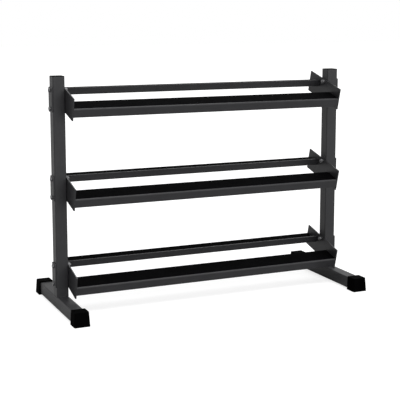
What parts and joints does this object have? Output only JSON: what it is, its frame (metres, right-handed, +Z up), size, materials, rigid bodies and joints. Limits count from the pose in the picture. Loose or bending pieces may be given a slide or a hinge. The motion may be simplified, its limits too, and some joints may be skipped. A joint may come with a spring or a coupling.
{
  "type": "dumbbell rack",
  "caption": "Free-standing dumbbell rack: tilted angle-rail shelves with rubber liners, bolted between two tube side frames with capped feet.",
  "frame": {"origin": "on the floor, midway between the two uprights and midway along the feet", "axes": "+X along the rails to the right-hand side frame, the front of the rack faces -Y, +Z up"},
  "size_m": [1.3544, 0.5852, 0.9722],
  "materials": {
    "frame_paint": "charcoal textured powder coat, satin",
    "liner_rubber": "matt black rubber sheet",
    "cap_rubber": "moulded black rubber, slight sheen",
    "plug_plastic": "moulded black plastic",
    "fastener_steel": "black zinc plated steel"
  },
  "bodies": {
    "root": {"foot_tube_left": "frame_paint", "upright_left": "frame_paint", "upright_plug_left": "plug_plastic", "foot_cap_left_front": "cap_rubber", "foot_cap_left_rear": "cap_rubber", "foot_tube_right": "frame_paint", "upright_right": "frame_paint", "upright_plug_right": "plug_plastic", "foot_cap_right_front": "cap_rubber", "foot_cap_right_rear": "cap_rubber", "bottom_front_rail": "frame_paint", "bottom_rear_rail": "frame_paint", "bottom_front_liner": "liner_rubber", "bottom_rear_liner": "liner_rubber", "bottom_end_plate_left": "frame_paint", "bottom_backing_plate_left": "frame_paint", "bottom_bolts_left": "fastener_steel", "bottom_washers_left": "fastener_steel", "bottom_nuts_left": "fastener_steel", "bottom_end_plate_right": "frame_paint", "bottom_backing_plate_right": "frame_paint", "bottom_bolts_right": "fastener_steel", "bottom_washers_right": "fastener_steel", "bottom_nuts_right": "fastener_steel", "middle_front_rail": "frame_paint", "middle_rear_rail": "frame_paint", "middle_front_liner": "liner_rubber", "middle_rear_liner": "liner_rubber", "middle_end_plate_left": "frame_paint", "middle_backing_plate_left": "frame_paint", "middle_bolts_left": "fastener_steel", "middle_washers_left": "fastener_steel", "middle_nuts_left": "fastener_steel", "middle_end_plate_right": "frame_paint", "middle_backing_plate_right": "frame_paint", "middle_bolts_right": "fastener_steel", "middle_washers_right": "fastener_steel", "middle_nuts_right": "fastener_steel", "top_front_rail": "frame_paint", "top_rear_rail": "frame_paint", "top_front_liner": "liner_rubber", "top_rear_liner": "liner_rubber", "top_end_plate_left": "frame_paint", "top_backing_plate_left": "frame_paint", "top_bolts_left": "fastener_steel", "top_washers_left": "fastener_steel", "top_nuts_left": "fastener_steel", "top_end_plate_right": "frame_paint", "top_backing_plate_right": "frame_paint", "top_bolts_right": "fastener_steel", "top_washers_right": "fastener_steel", "top_nuts_right": "fastener_steel"}
  },
  "joints": []
}
